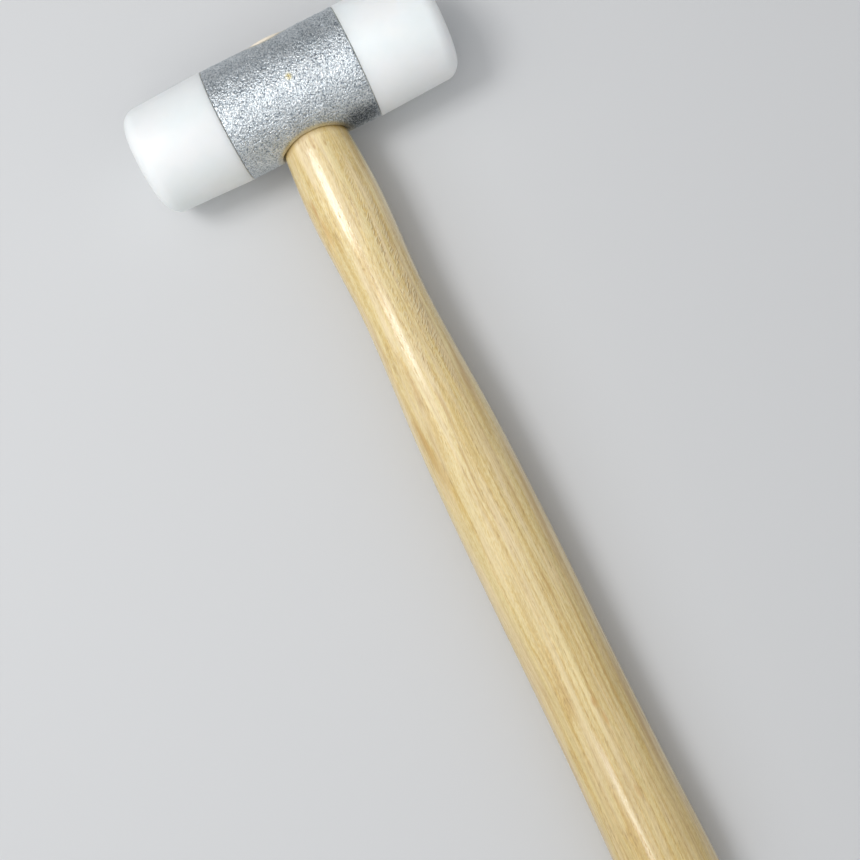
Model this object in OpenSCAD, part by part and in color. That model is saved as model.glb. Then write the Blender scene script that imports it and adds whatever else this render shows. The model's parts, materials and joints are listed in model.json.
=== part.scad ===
// Soft-face hammer: a cast housing with two screwed nylon faces on an oval ash handle.
// It lies on its side, with X along the head, Y from the butt to the head and Z up.
// The origin is on the surface it lies on, below the middle of its outline.

/* [Housing] */
// Diameter of the cast housing
housing_d = 35; // [32:0.5:42]
// Length of the cast housing along the head
housing_l = 44; // [43:0.5:60]
// Width of the bevel round each end of the housing
housing_bevel = 0.4; // [0.1:0.1:1]
// Straight length of the eye's waist along the handle
waist_l = 13; // [12:0.5:20]
// Extra opening of the eye's mouth round the handle
mouth_gap = 0.6; // [0.1:0.1:1.2]
// Depth over which the eye's mouth opens
mouth_depth = 3; // [1:0.5:4]

/* [Nylon faces] */
// Length of a nylon face from its seat to its striking end
face_l = 28; // [22:0.5:40]
// How far the nylon stands proud of the housing at the seam
face_proud = 0.15; // [0:0.05:0.5]
// Draft of the nylon's side in degrees
face_draft = 2; // [0.5:0.1:4]
// Radius of the rounded striking edge
face_edge_r = 5; // [2:0.25:8]
// Width of the bevel round the nylon at the seam
seam_bevel = 0.25; // [0.1:0.05:0.6]

/* [Studs] */
// Outer diameter of the stud's thread
thread_d = 12; // [8:0.5:12.5]
// Pitch of the stud's thread
thread_pitch = 1.75; // [1:0.25:2]
// Length of a stud inside the housing
stud_in_housing = 10; // [7:0.5:11]
// Length of a stud inside its nylon face
stud_in_face = 14; // [8:0.5:16]
// Radial clearance between a stud and its sockets
thread_fit = 0.05; // [0.02:0.01:0.1]
// Room left behind each end of a stud
socket_spare = 0.5; // [0.2:0.1:1]
// Bevel on each end of a stud
stud_bevel = 1; // [0.5:0.1:1.5]

/* [Handle] */
// Length of the handle from the butt to the end of its tenon
handle_l = 300; // [280:1:360]
// Thickness of the handle's oval section as a share of its width
oval = 0.86; // [0.75:0.01:1]
// Width of the handle where it enters the housing
entry_w = 21.1; // [19:0.1:23]
// Width of the swell below the housing
shoulder_w = 23.1; // [20:0.1:27]
// Distance of the swell below the housing
shoulder_drop = 14.5; // [10:0.5:22]
// Width of the neck
neck_w = 21.5; // [18:0.1:24]
// Distance of the neck below the housing
neck_drop = 54.5; // [40:0.5:75]
// Width at the front of the grip
grip_front_w = 25.4; // [22:0.1:30]
// Distance of the grip's front below the housing
grip_front_drop = 95; // [82:0.5:120]
// Width at the rear of the grip
grip_rear_w = 28.2; // [24:0.1:32]
// Distance of the grip's rear below the housing
grip_rear_drop = 215; // [160:0.5:225]
// Width of the flare at the butt
flare_w = 29.9; // [26:0.1:34]
// Distance of the flare's widest place from the butt
flare_rise = 12; // [6:0.5:16]
// Depth of the rounding round the butt's end
butt_round = 5; // [2:0.25:8]

/* [Tenon] */
// Width of the tenon at the eye's waist
tenon_w = 18.4; // [15:0.1:19]
// Width of the tenon's spread end
tenon_end_w = 19.2; // [19:0.1:22]
// How far the flat end of the tenon lies below the top of the housing
tenon_sunk = 1.35; // [0:0.05:2.5]
// Clearance between the tenon and the eye's wall
eye_fit = 0.05; // [0.02:0.01:0.1]

/* [Wedges] */
// Length of the wooden wedge
wedge_l = 20; // [14:0.5:24]
// Thickness of the wooden wedge just past the tenon's end
wedge_t = 2.6; // [1.5:0.1:4]
// Thickness of the wooden wedge at its tip
wedge_tip_t = 0.8; // [0.4:0.1:1.4]
// Clearance between the wooden wedge and its kerf
wedge_fit = 0.05; // [0.02:0.01:0.1]
// Outer diameter of the steel ring wedge
ring_d = 10; // [8:0.5:12]
// Wall of the steel ring wedge
ring_wall = 1.5; // [1:0.1:2]
// Length of the steel ring wedge
ring_l = 9; // [6:0.5:11]
// Length of the sharpened rim of the ring wedge
ring_edge_l = 3; // [1:0.5:4]
// How far the ring wedge is driven below the tenon's end
ring_sunk = 0.3; // [0:0.1:1]
// Clearance between the ring wedge and the wood
ring_fit = 0.05; // [0.02:0.01:0.1]

/* [Hidden] */
$fn = 96;

// Overshoot of a cut past the face that it opens
cut_over = 1;
// Longest step along the handle's outline
outline_step = 8;
// Steps round the butt's end
butt_steps = 6;
// Share of the pitch that stays flat on a thread's crest and root
crest_share = 0.125;
root_share = 0.25;
// Depth of a metric outer thread as a share of its pitch
depth_share = 0.6134;

housing_r = housing_d / 2;
seat_x = housing_l / 2;
seam_r = housing_r + face_proud;
thread_r = thread_d / 2;
socket_r = thread_r + thread_fit;
flare_r = flare_w / 2;
ring_r = ring_d / 2;
tenon_y = housing_r - tenon_sunk;
butt_y = tenon_y - handle_l;
flare_y = butt_y + flare_rise;
ring_y = tenon_y - ring_sunk;

// The hammer lies on both nylon faces and on the flare of its butt.
flare_drop = oval * flare_r;
lie_angle = asin(seam_r / norm([flare_y, flare_drop])) - atan2(flare_drop, -flare_y);
low_y = butt_y * cos(lie_angle) - oval * (flare_r - butt_round) * sin(lie_angle);
origin_y = (low_y + seam_r) / 2;

// Outline of the handle below the housing: [place along the handle, half width] at each station
stations = [
    [-housing_r, entry_w / 2],
    [-housing_r - shoulder_drop, shoulder_w / 2],
    [-housing_r - neck_drop, neck_w / 2],
    [-housing_r - grip_front_drop, grip_front_w / 2],
    [-housing_r - grip_rear_drop, grip_rear_w / 2],
    [flare_y, flare_r]
];
last = len(stations) - 1;

function span(i) = stations[i + 1][0] - stations[i][0];
function chord(i) = (stations[i + 1][1] - stations[i][1]) / span(i);

// Slope of the outline at a station, from the chords on both sides; it runs level at the flare.
function slope(i) =
    i == 0 ? chord(0)
    : i == last ? 0
    : (chord(i) * span(i - 1) + chord(i - 1) * span(i)) / (span(i) + span(i - 1));

// Half width at the share t of the way from station i to the next, on a smooth cubic
function half_width(i, t) =
    (2 * t * t * t - 3 * t * t + 1) * stations[i][1]
    + (t * t * t - 2 * t * t + t) * span(i) * slope(i)
    + (3 * t * t - 2 * t * t * t) * stations[i + 1][1]
    + (t * t * t - t * t) * span(i) * slope(i + 1);

function span_steps(i) = ceil(abs(span(i)) / outline_step);

grip_points = [
    for (i = [0 : last - 1])
        for (k = [0 : span_steps(i) - 1])
            let (t = k / span_steps(i))
                [half_width(i, t), stations[i][0] + t * span(i)]
];

butt_points = [
    for (k = [0 : butt_steps])
        let (turn = 90 * k / butt_steps)
            [flare_r - butt_round * (1 - cos(turn)), flare_y - flare_rise * sin(turn)]
];

// Half width of the eye where it runs on past the housing
spread = (tenon_end_w - tenon_w) / 2 / (tenon_y - waist_l / 2);
past_y = housing_r + cut_over;
past_r = tenon_end_w / 2 + spread * (past_y - tenon_y);

// Half width of the eye's mouth just outside the housing
taper = (entry_w - tenon_w) / 2 / (housing_r - waist_l / 2);
mouth_open = mouth_gap / mouth_depth;
mouth_y = -housing_r + mouth_depth;
mouth_r = entry_w / 2 - taper * mouth_depth + eye_fit;
outside_r = entry_w / 2 + mouth_gap + (taper + mouth_open) * cut_over + eye_fit;

module lie() {
    translate([0, -origin_y, seam_r]) rotate([lie_angle, 0, 0]) children();
}

// Turns an outline of [radius, place] about the head's axis
module along_head() {
    rotate([0, 90, 0]) rotate_extrude() children();
}

// Turns an outline of [radius, place] about the handle's axis
module along_handle() {
    rotate([-90, 0, 0]) rotate_extrude() children();
}

// The same, flattened to the handle's oval section, one half after the other
module oval_along_handle() {
    rotate([-90, 0, 0]) for (side = [0, 180])
        scale([1, oval, 1]) rotate([0, 0, side]) rotate_extrude(angle = 180) children();
}

module both_ends() {
    children();
    mirror([1, 0, 0]) children();
}

module eye() {
    oval_along_handle() polygon([
        [0, -housing_r - cut_over],
        [outside_r, -housing_r - cut_over],
        [mouth_r, mouth_y],
        [tenon_w / 2 + eye_fit, -waist_l / 2],
        [tenon_w / 2 + eye_fit, waist_l / 2],
        [past_r + eye_fit, past_y],
        [0, past_y]
    ]);
}

module stud_socket(from_x, to_x) {
    translate([from_x, 0, 0]) rotate([0, 90, 0]) cylinder(r = socket_r, h = to_x - from_x);
}

// The wedge's section, wider by a clearance, run through the tenon along the head
module wedge_bar(gap) {
    tip_y = tenon_y - wedge_l - gap;
    rotate([90, 0, 90]) linear_extrude(height = 2 * (past_r + cut_over), center = true) polygon([
        [tip_y, wedge_tip_t / 2 + gap],
        [tenon_y + cut_over, wedge_t / 2 + gap],
        [tenon_y + cut_over, -wedge_t / 2 - gap],
        [tip_y, -wedge_tip_t / 2 - gap]
    ]);
}

module tenon_bar() {
    oval_along_handle() polygon([
        [0, -waist_l / 2],
        [tenon_w / 2, -waist_l / 2],
        [tenon_w / 2, waist_l / 2],
        [tenon_end_w / 2, tenon_y],
        [0, tenon_y]
    ]);
}

// The handle from the eye's waist to the butt
module grip_bar() {
    oval_along_handle() polygon(concat(
        [[0, -waist_l / 2], [tenon_w / 2, -waist_l / 2]],
        grip_points,
        butt_points,
        [[0, butt_y]]
    ));
}

// Room for the ring wedge, open at the tenon's end
module ring_pocket() {
    along_handle() polygon([
        [ring_r - ring_wall - ring_fit, ring_y - ring_l - ring_fit],
        [ring_r + ring_fit, ring_y - ring_l - ring_fit],
        [ring_r + ring_fit, tenon_y + cut_over],
        [ring_r - ring_wall - ring_fit, tenon_y + cut_over]
    ]);
}

module head_housing() {
    color("silver") lie() difference() {
        along_head() polygon([
            [0, -seat_x],
            [housing_r - housing_bevel, -seat_x],
            [housing_r, -seat_x + housing_bevel],
            [housing_r, seat_x - housing_bevel],
            [housing_r - housing_bevel, seat_x],
            [0, seat_x]
        ]);
        eye();
        both_ends() stud_socket(seat_x - stud_in_housing - socket_spare, seat_x + cut_over);
    }
}

// Section of a nylon face, with its edge rounded by an arc that meets the side and the end smoothly
module face_section() {
    arc_x = face_l - face_edge_r;
    arc_r = seam_r - arc_x * tan(face_draft) - face_edge_r / cos(face_draft);
    polygon([
        [0, 0],
        [seam_r - seam_bevel, 0],
        [seam_r - seam_bevel * tan(face_draft), seam_bevel],
        [arc_r + face_edge_r * cos(face_draft), arc_x + face_edge_r * sin(face_draft)],
        [arc_r, face_l],
        [0, face_l]
    ]);
    translate([arc_r, arc_x]) circle(r = face_edge_r);
}

module nylon_face() {
    difference() {
        translate([seat_x, 0, 0]) along_head() face_section();
        stud_socket(seat_x - cut_over, seat_x + stud_in_face + socket_spare);
    }
}

// Outline of a stud with one ring groove for each turn of its thread
module stud() {
    inner_x = seat_x - stud_in_housing;
    outer_x = seat_x + stud_in_face;
    core_r = thread_r - depth_share * thread_pitch;
    flank = (1 - crest_share - root_share) / 2 * thread_pitch;
    turns = floor((outer_x - inner_x - 2 * stud_bevel) / thread_pitch);
    start_x = (inner_x + outer_x - turns * thread_pitch) / 2;
    grooves = [
        for (k = [0 : turns - 1])
            let (x = start_x + k * thread_pitch + crest_share / 2 * thread_pitch)
                each [
                    [thread_r, x],
                    [core_r, x + flank],
                    [core_r, x + flank + root_share * thread_pitch],
                    [thread_r, x + 2 * flank + root_share * thread_pitch]
                ]
    ];
    along_head() polygon(concat(
        [[0, inner_x], [thread_r - stud_bevel, inner_x], [thread_r, inner_x + stud_bevel]],
        grooves,
        [[thread_r, outer_x - stud_bevel], [thread_r - stud_bevel, outer_x], [0, outer_x]]
    ));
}

module left_face() {
    color("white") lie() mirror([1, 0, 0]) nylon_face();
}

module right_face() {
    color("white") lie() nylon_face();
}

module left_stud() {
    color("lightgray") lie() mirror([1, 0, 0]) stud();
}

module right_stud() {
    color("lightgray") lie() stud();
}

module handle() {
    color("burlywood") lie() {
        difference() {
            tenon_bar();
            wedge_bar(wedge_fit);
            ring_pocket();
        }
        grip_bar();
    }
}

module wood_wedge() {
    color("tan") lie() difference() {
        intersection() {
            wedge_bar(0);
            tenon_bar();
        }
        ring_pocket();
    }
}

module ring_wedge() {
    inner_r = ring_r - ring_wall;
    color("gray") lie() along_handle() polygon([
        [ring_r, ring_y - ring_l],
        [ring_r, ring_y],
        [inner_r, ring_y],
        [inner_r, ring_y - ring_l + ring_edge_l]
    ]);
}

head_housing();
left_face();
right_face();
left_stud();
right_stud();
handle();
wood_wedge();
ring_wedge();
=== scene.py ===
"""Soft-face hammer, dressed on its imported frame.

Every new piece is modelled in millimetres on the hammer's own axes: X along the head, Y from the butt to the
head, Z up, and the middle of the head at the origin. It is then laid down into the frame, in metres.
"""
import json
import logging
import math
from abc import ABC, abstractmethod
from contextlib import contextmanager
from dataclasses import dataclass
from enum import Enum
from typing import Callable, ClassVar, Iterator, Sequence

import bmesh
import bpy
from bpy.types import Material, NodeSocket, NodeTree, Object, World, bpy_prop_collection
from mathutils import Euler, Matrix, Vector


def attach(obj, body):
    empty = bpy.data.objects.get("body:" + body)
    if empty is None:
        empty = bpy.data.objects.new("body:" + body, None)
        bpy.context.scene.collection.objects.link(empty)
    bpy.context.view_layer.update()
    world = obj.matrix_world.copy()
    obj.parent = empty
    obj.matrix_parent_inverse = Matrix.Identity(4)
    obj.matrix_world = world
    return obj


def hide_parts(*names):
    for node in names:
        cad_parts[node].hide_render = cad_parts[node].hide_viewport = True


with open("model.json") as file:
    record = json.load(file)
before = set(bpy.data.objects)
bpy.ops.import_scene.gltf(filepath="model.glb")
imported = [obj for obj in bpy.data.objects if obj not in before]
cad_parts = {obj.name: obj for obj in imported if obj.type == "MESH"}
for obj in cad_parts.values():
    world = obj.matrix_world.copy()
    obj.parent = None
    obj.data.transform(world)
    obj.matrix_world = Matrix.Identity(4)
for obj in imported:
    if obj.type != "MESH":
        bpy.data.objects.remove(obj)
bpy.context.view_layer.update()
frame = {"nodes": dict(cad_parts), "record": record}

Pair = tuple[float, float]
Triple = tuple[float, float, float]
Outline = Sequence[Pair]

LOG = logging.getLogger("hammer")
MM = 0.001
# Sockets of the Mix node that carry colours
MIX_FACTOR = 0
MIX_A = 6
MIX_B = 7
MIX_RESULT = 2
# Values between which a noise texture mostly stays, and the middle of them
NOISE_SPAN = {"From Min": 0.3, "From Max": 0.7}
NOISE_MIDDLE = 0.5
# Factors that leave only what lies across the head
ACROSS_HEAD: Triple = (0.0, 1.0, 1.0)
# How far a cutting tool runs past the face that it opens
CUT_OVER = 1.0
# How near a corner lies to a plane to count as on it
TOUCH = 0.01


class Body(Enum):
    """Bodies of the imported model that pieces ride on."""

    HEAD_AND_HANDLE = "frame"
    LEFT_FACE = "left_head"
    RIGHT_FACE = "right_head"


class Slot(Enum):
    """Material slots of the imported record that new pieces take."""

    HOUSING = "housing"
    NYLON = "nylon"
    STEEL = "steel"
    ASH = "ash"


class End(Enum):
    """The two ends of the head, as the sign of X."""

    LEFT = -1
    RIGHT = 1

    @property
    def word(self) -> str:
        """The end's name as the CAD nodes spell it."""
        return self.name.lower()

    @property
    def body(self) -> Body:
        """The body of the nylon face at this end."""
        return Body.LEFT_FACE if self is End.LEFT else Body.RIGHT_FACE

    @property
    def turn(self) -> float:
        """Turn about the upright axis that brings a piece from the right end to this one."""
        return math.pi if self is End.LEFT else 0.0


class Axis(Enum):
    """Directions that a bar is drawn along."""

    HEAD = (1.0, 0.0, 0.0)
    HANDLE = (0.0, 1.0, 0.0)

    @property
    def line(self) -> Vector:
        """The direction as a vector."""
        return Vector(self.value)

    @property
    def turn(self) -> Triple:
        """Rotation that stands a flat disc across this direction."""
        return (0.0, math.pi / 2, 0.0) if self is Axis.HEAD else (-math.pi / 2, 0.0, 0.0)

    def across(self, wide: float, thick: float) -> Triple:
        """Factors for X, Y and Z that resize a section's width and its thickness, which is along Z."""
        return (1.0, wide, thick) if self is Axis.HEAD else (wide, 1.0, thick)


class Part(Enum):
    """Parts of a mesh that can be picked in edit mode."""

    EDGES = 1
    FACES = 2


class Join(Enum):
    """What becomes of a piece where a tool meets it."""

    CUT_AWAY = "DIFFERENCE"
    KEEP_INSIDE = "INTERSECT"
    ADD = "UNION"


class Blend(Enum):
    """How a colour is laid over another one."""

    COVER = "MIX"
    TINT = "MULTIPLY"


@dataclass(frozen=True)
class Lie:
    """How the hammer lies in the frame: the head's middle in millimetres and the handle's slope."""

    middle: Vector
    slope: float

    @classmethod
    def from_record(cls, record: dict) -> "Lie":
        """Reads the lie from the record's mounts.

        Args:
            record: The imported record.

        Returns:
            The lie of the hammer.
        """
        mounts = {mount["name"]: mount for mount in record["mounts"]}
        left = Vector(mounts["left_striking_face"]["pos_m"])
        right = Vector(mounts["right_striking_face"]["pos_m"])
        down_handle = mounts["butt_face"]["axis"]
        return cls((left + right) / 2 / MM, math.atan2(-down_handle[2], -down_handle[1]))

    def to_frame(self) -> Matrix:
        """The matrix from the hammer's axes in millimetres to the frame in metres."""
        turn = Matrix.Rotation(self.slope, 4, "X")
        return Matrix.Scale(MM, 4) @ Matrix.Translation(self.middle) @ turn


def linear(code: str) -> tuple[float, float, float, float]:
    """Turns an sRGB hex value to a linear colour.

    Args:
        code: The colour as #RRGGBB.

    Returns:
        Linear red, green and blue, and an alpha of 1.
    """
    shares = [int(code[place : place + 2], 16) / 255 for place in (1, 3, 5)]
    red, green, blue = (s / 12.92 if s <= 0.04045 else ((s + 0.055) / 1.055) ** 2.4 for s in shares)
    return red, green, blue, 1.0


@dataclass(frozen=True)
class Drawing:
    """A node tree, and the place on the hammer in millimetres that patterns are drawn by."""

    tree: NodeTree
    where: NodeSocket | None = None

    @classmethod
    def fresh(cls, owner: Material | World) -> "Drawing":
        """Clears the nodes of a material or a world, to draw new ones.

        Args:
            owner: The material or the world.

        Returns:
            The empty drawing.
        """
        owner.use_nodes = True
        owner.node_tree.nodes.clear()
        return cls(owner.node_tree)

    def at(self, where: NodeSocket) -> "Drawing":
        """The same drawing, by another place."""
        return Drawing(self.tree, where)

    def add(
        self, kind: str, sockets: dict | None = None, stops: Sequence = (), **settings: object
    ) -> bpy_prop_collection:
        """Adds one shader node with its settings and links.

        Args:
            kind: The node's type, without its ShaderNode prefix.
            sockets: Input name or number to a constant, or to the output that feeds it.
            stops: Place and hex colour of each stop, on a colour ramp.
            settings: Properties of the node.

        Returns:
            The new node's outputs.
        """
        made = self.tree.nodes.new("ShaderNode" + kind)
        for name, value in settings.items():
            setattr(made, name, value)
        for key, value in (sockets or {}).items():
            if isinstance(value, NodeSocket):
                self.tree.links.new(value, made.inputs[key])
            else:
                made.inputs[key].default_value = value
        for number, (place, code) in enumerate(stops):
            ramp = made.color_ramp.elements
            stop = ramp[number] if number < len(ramp) else ramp.new(place)
            stop.position = place
            stop.color = linear(code)
        return made.outputs


def single_out(piece: Object) -> None:
    """Selects one piece alone and makes it the active one.

    Args:
        piece: The object.
    """
    bpy.ops.object.select_all(action="DESELECT")
    piece.select_set(True)
    bpy.context.view_layer.objects.active = piece


@contextmanager
def editing(piece: Object) -> Iterator[None]:
    """Opens a piece in edit mode, ready to pick corners, and closes it again.

    Args:
        piece: The object to edit.
    """
    single_out(piece)
    bpy.context.tool_settings.mesh_select_mode = (True, False, False)
    bpy.ops.object.mode_set(mode="EDIT")
    yield
    bpy.ops.object.mode_set(mode="OBJECT")


def start(add: Callable, **settings: object) -> Object:
    """Adds a primitive with nothing else selected, its place in its mesh.

    Args:
        add: The operator that adds it.
        settings: The operator's settings.

    Returns:
        The new object.
    """
    bpy.ops.object.select_all(action="DESELECT")
    add(**settings)
    bpy.ops.object.transform_apply(location=True, rotation=True, scale=True)
    return bpy.context.object


def pick(part: Part, where: Callable[[Vector], bool]) -> None:
    """Selects the parts of the edited mesh that lie wholly in a place.

    Args:
        part: Edges or faces.
        where: Tells whether a corner lies in the place.
    """
    bpy.context.tool_settings.mesh_select_mode = (False, part is Part.EDGES, part is Part.FACES)
    bpy.ops.mesh.select_all(action="DESELECT")
    shape = bmesh.from_edit_mesh(bpy.context.object.data)
    for item in shape.edges if part is Part.EDGES else shape.faces:
        if all(where(corner.co) for corner in item.verts):
            item.select_set(True)
    shape.select_flush_mode()
    bmesh.update_edit_mesh(bpy.context.object.data)


def face_outwards() -> None:
    """Points all faces of the edited mesh outwards."""
    bpy.ops.mesh.select_all(action="SELECT")
    bpy.ops.mesh.normals_make_consistent(inside=False)


def trim(place: float, outward: float) -> None:
    """Cuts the edited mesh off flat across the head and closes the cut.

    Args:
        place: Where on X.
        outward: 1 to drop what lies to the right of it, -1 to drop what lies to the left.
    """
    bpy.ops.mesh.select_all(action="SELECT")
    face, normal = (place, 0.0, 0.0), (outward, 0.0, 0.0)
    bpy.ops.mesh.bisect(plane_co=face, plane_no=normal, clear_outer=True, use_fill=True)


def loft(outline: Outline, axis: Axis, sides: int, flat: float = 1.0) -> Object:
    """Draws a closed bar by extruding a disc and resizing it from station to station.

    Args:
        outline: Place along the axis and half width at each station.
        axis: The direction of the bar.
        sides: Corners of its section.
        flat: Thickness of the section as a share of its width.

    Returns:
        The bar.
    """
    place, half = outline[0]
    bar = start(
        bpy.ops.mesh.primitive_circle_add,
        vertices=sides,
        radius=half,
        fill_type="NGON",
        location=axis.line * place,
        rotation=axis.turn,
    )
    with editing(bar):
        bpy.ops.mesh.select_all(action="SELECT")
        bpy.ops.transform.resize(value=axis.across(1.0, flat), center_override=axis.line * place)
        for far, wide in outline[1:]:
            bpy.ops.mesh.extrude_region_move(TRANSFORM_OT_translate={"value": axis.line * (far - place)})
            grow = wide / half
            bpy.ops.transform.resize(value=axis.across(grow, grow), center_override=axis.line * far)
            place, half = far, wide
        face_outwards()
    return bar


def apply_modifier(piece: Object, kind: str, **settings: object) -> None:
    """Adds a modifier and applies it.

    Args:
        piece: The object to change.
        kind: The modifier's type.
        settings: Its settings.
    """
    single_out(piece)
    change = piece.modifiers.new(kind.lower(), kind)
    for name, value in settings.items():
        setattr(change, name, value)
    bpy.ops.object.modifier_apply(modifier=change.name)


def work(piece: Object, tool: Object, join: Join = Join.CUT_AWAY) -> None:
    """Works a piece with a tool, which is used up.

    Args:
        piece: The object to change.
        tool: The closed shape that changes it.
        join: What becomes of the piece where they meet.
    """
    apply_modifier(piece, "BOOLEAN", object=tool, operation=join.value, solver="EXACT")
    bpy.data.objects.remove(tool)


def copy_to(end: End, piece: Object) -> Object:
    """Copies a piece of the right end, with a mesh of its own, to an end of the head.

    Args:
        end: Where the copy goes.
        piece: The piece, in millimetres.

    Returns:
        The copy.
    """
    single_out(piece)
    bpy.ops.object.duplicate(linked=False)
    made = bpy.context.object
    made.rotation_euler.z = end.turn
    bpy.ops.object.transform_apply(location=True, rotation=True, scale=True)
    return made


def weigh(piece: Object, name: str, share: Callable[[Vector], float]) -> None:
    """Gives a piece a vertex group from the place of its corners.

    Args:
        piece: The object.
        name: The group's name.
        share: Weight at a place.
    """
    group = piece.vertex_groups.new(name=name)
    for corner in piece.data.vertices:
        group.add([corner.index], share(corner.co), "REPLACE")


def ease(value: float, low: float, high: float) -> float:
    """Rises smoothly from 0 at low to 1 at high.

    Args:
        value: The place between them.
        low: Where the rise starts.
        high: Where it ends.

    Returns:
        The share, from 0 to 1.
    """
    share = min(1.0, max(0.0, (value - low) / (high - low)))
    return share * share * (3 - 2 * share)


def lay_down(piece: Object, lie: Lie, smooth_below: float) -> None:
    """Moves a finished mesh from the hammer's axes into the frame and smooths its shading.

    Args:
        piece: The object, in millimetres.
        lie: How the hammer lies in the frame.
        smooth_below: Largest angle in degrees that is shaded smooth.
    """
    single_out(piece)
    piece.matrix_world = lie.to_frame()
    bpy.ops.object.transform_apply(location=True, rotation=True, scale=True)
    bpy.ops.object.shade_smooth_by_angle(angle=math.radians(smooth_below))
    piece.vertex_groups.clear()


def seat(piece: Object, name: str, body: Body, stands_for: str) -> None:
    """Names a finished piece and ties it to the frame.

    Args:
        piece: The object.
        name: Its name.
        body: The body that it rides on.
        stands_for: The CAD node that it replaces.
    """
    piece.name = name
    piece.data.name = name
    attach(piece, body.value)
    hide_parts(stands_for)
    LOG.info("%s: %d faces on %s", name, len(piece.data.polygons), body.value)


@dataclass(frozen=True)
class Grain:
    """Size of a pattern in millimetres, its detail, and its lean off the handle in degrees.

    A depth of 0 stands for one that is the same as the width.
    """

    wide: float
    long: float
    detail: float = 0.0
    lean: float = 0.0
    deep: float = 0.0

    def place(self, on: Drawing) -> NodeSocket:
        """Stretches a place on the hammer to the grain.

        Args:
            on: The drawing.

        Returns:
            The place, counted in grains.
        """
        drawn = {
            "Vector": on.where,
            "Rotation": (0.0, 0.0, math.radians(self.lean)),
            "Scale": (self.wide, self.long, self.deep or self.wide),
        }
        return on.add("Mapping", drawn, vector_type="TEXTURE")[0]

    def noise(self, on: Drawing) -> bpy_prop_collection:
        """Draws noise of this grain.

        Args:
            on: The drawing.

        Returns:
            The noise as a value and as a colour.
        """
        drawn = {"Vector": self.place(on), "Scale": 1.0, "Detail": self.detail}
        return on.add("TexNoise", drawn)


@dataclass(frozen=True)
class Layer:
    """A colour laid over another one: its largest share, and the span of a value that brings it in."""

    colour: str
    most: float = 1.0
    span: Pair = (0.0, 1.0)
    blend: Blend = Blend.COVER

    def paint(self, on: Drawing, under: NodeSocket, value: NodeSocket) -> NodeSocket:
        """Paints the layer.

        Args:
            on: The drawing.
            under: The colour below.
            value: What brings the layer in.

        Returns:
            The colour with the layer on it.
        """
        low, high = self.span
        ranged = {"Value": value, "From Min": low, "From Max": high, "To Max": self.most}
        share = on.add("MapRange", ranged)[0]
        mixed = {MIX_FACTOR: share, MIX_A: under, MIX_B: linear(self.colour)}
        return on.add("Mix", mixed, data_type="RGBA", blend_type=self.blend.value)[MIX_RESULT]


@dataclass(frozen=True)
class Mark:
    """A soft, long spot with a colour laid on the surface, its lean in radians: mostly marks of one
    particular hammer, and also painted shade on the housing.
    """

    # Share of a mark's reach within which it has its whole strength
    CORE: ClassVar[float] = 0.2

    place: Triple
    reach: Triple
    colour: str
    strength: float
    lean: float = 0.0
    blend: Blend = Blend.COVER

    def share(self, on: Drawing) -> NodeSocket:
        """Draws where the mark lies.

        Args:
            on: The drawing.

        Returns:
            The mark's share, from none at its rim to its strength near its middle.
        """
        near = on.add("VectorMath", {0: on.where, 1: self.place}, operation="SUBTRACT")[0]
        turned = on.add("Mapping", {0: near, "Rotation": (0.0, 0.0, self.lean)})[0]
        shrunk = on.add("VectorMath", {0: turned, 1: self.reach}, operation="DIVIDE")[0]
        far = on.add("VectorMath", {0: shrunk}, operation="LENGTH")["Value"]
        ranged = {"Value": far, "From Min": 1.0, "From Max": self.CORE, "To Max": self.strength}
        return on.add("MapRange", ranged, interpolation_type="SMOOTHSTEP")[0]

    def paint(self, on: Drawing, under: NodeSocket, hold: NodeSocket | float = 1.0) -> NodeSocket:
        """Paints the mark over a colour.

        Args:
            on: The drawing.
            under: The colour below.
            hold: How well the surface holds the mark, from place to place.

        Returns:
            The colour with the mark on it.
        """
        held = on.add("Math", {0: self.share(on), 1: hold}, operation="MULTIPLY")[0]
        return Layer(self.colour, blend=self.blend).paint(on, under, held)


@dataclass(frozen=True)
class Surface:
    """Roughness from low to high noise, and the relief's strength and its depth in millimetres."""

    roughness: Pair
    strength: float
    relief: float

    def lay(self, on: Drawing, shine: NodeSocket, height: NodeSocket) -> dict:
        """Draws the gloss and the relief.

        Args:
            on: The drawing.
            shine: Noise that the gloss follows.
            height: What stands out.

        Returns:
            What goes into the shader for them.
        """
        low, high = self.roughness
        ranged = {**NOISE_SPAN, "Value": shine, "To Min": low, "To Max": high}
        bumped = {"Strength": self.strength, "Distance": self.relief * MM, "Height": height}
        return {"Roughness": on.add("MapRange", ranged)[0], "Normal": on.add("Bump", bumped)[0]}


@dataclass(frozen=True)
class Finish(ABC):
    """A real material and the way it was worked, drawn on the hammer's own axes."""

    NAME: ClassVar[str]

    @abstractmethod
    def look(self, on: Drawing) -> dict:
        """Draws the finish.

        Args:
            on: The drawing.

        Returns:
            What goes into each input of the shader.
        """

    def material(self, lie: Lie) -> Material:
        """Builds the node material.

        Args:
            lie: How the hammer lies in the frame.

        Returns:
            The material.
        """
        material = bpy.data.materials.new(self.NAME)
        on = Drawing.fresh(material)
        back = Matrix.Rotation(-lie.slope, 3, "X")
        placed = {
            "Vector": on.add("TexCoord")["Object"],
            "Location": -(back @ lie.middle),
            "Rotation": (-lie.slope, 0.0, 0.0),
            "Scale": (1 / MM, 1 / MM, 1 / MM),
        }
        where = on.add("Mapping", placed)[0]
        shader = on.add("BsdfPrincipled", self.look(on.at(where)))[0]
        on.add("OutputMaterial", {"Surface": shader})
        return material


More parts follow.
